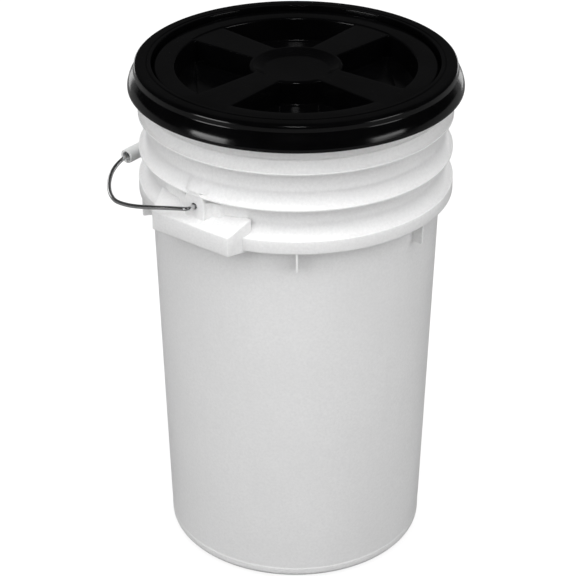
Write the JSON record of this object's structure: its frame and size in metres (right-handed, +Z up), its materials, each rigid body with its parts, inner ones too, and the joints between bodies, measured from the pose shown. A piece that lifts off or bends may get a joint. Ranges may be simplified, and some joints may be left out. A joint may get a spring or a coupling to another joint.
{
  "type": "plastic fermenting bucket",
  "caption": "Tall tapered plastic pail with reinforcing flanges, moulded ears, a wire bail with a plastic grip and a screw-in lid in a press-on ring.",
  "frame": {"origin": "centre of the flat base, on the surface the bucket stands on", "axes": "+Z up along the bucket's axis; +X and -X through the two ears, along the bail's hinge line; the folded bail lies towards +Y"},
  "size_m": [0.3406, 0.3602, 0.5278],
  "materials": {
    "white_plastic": "satin moulded polyethylene",
    "black_plastic": "semi-gloss moulded plastic",
    "gasket_rubber": "matt foamed rubber",
    "steel_wire": "zinc-plated drawn wire",
    "grip_plastic": "satin moulded plastic"
  },
  "bodies": {
    "pail": {"pail_body": "white_plastic", "adapter_ring": "black_plastic", "ring_gasket": "gasket_rubber"},
    "lid_seal": {"lid_gasket": "gasket_rubber"},
    "lid": {"spin_lid": "black_plastic"},
    "bail": {"bail_wire": "steel_wire"},
    "grip": {"bail_grip": "grip_plastic"}
  },
  "joints": [
    {"name": "lid_rise", "type": "slide", "parent": "pail", "child": "lid_seal", "axis": [0, 0, 1], "range_m": [0, 0.036]},
    {"name": "lid_turn", "type": "hinge", "parent": "lid_seal", "child": "lid", "pos_m": [0, 0, 0.51], "axis": [0, 0, 1], "range_deg": [0, 1080]},
    {"name": "bail_swing", "type": "hinge", "parent": "pail", "child": "bail", "pos_m": [0, 0, 0.4284], "axis": [1, 0, 0], "range_deg": [0, 206.4]},
    {"name": "grip_spin", "type": "hinge", "parent": "bail", "child": "grip", "pos_m": [0, 0.1881, 0.3843], "axis": [1, 0, 0], "continuous": true}
  ],
  "couplings": [
    {"joint": "lid_rise", "follows": "lid_turn", "m_per_rad": 0.0019099}
  ]
}
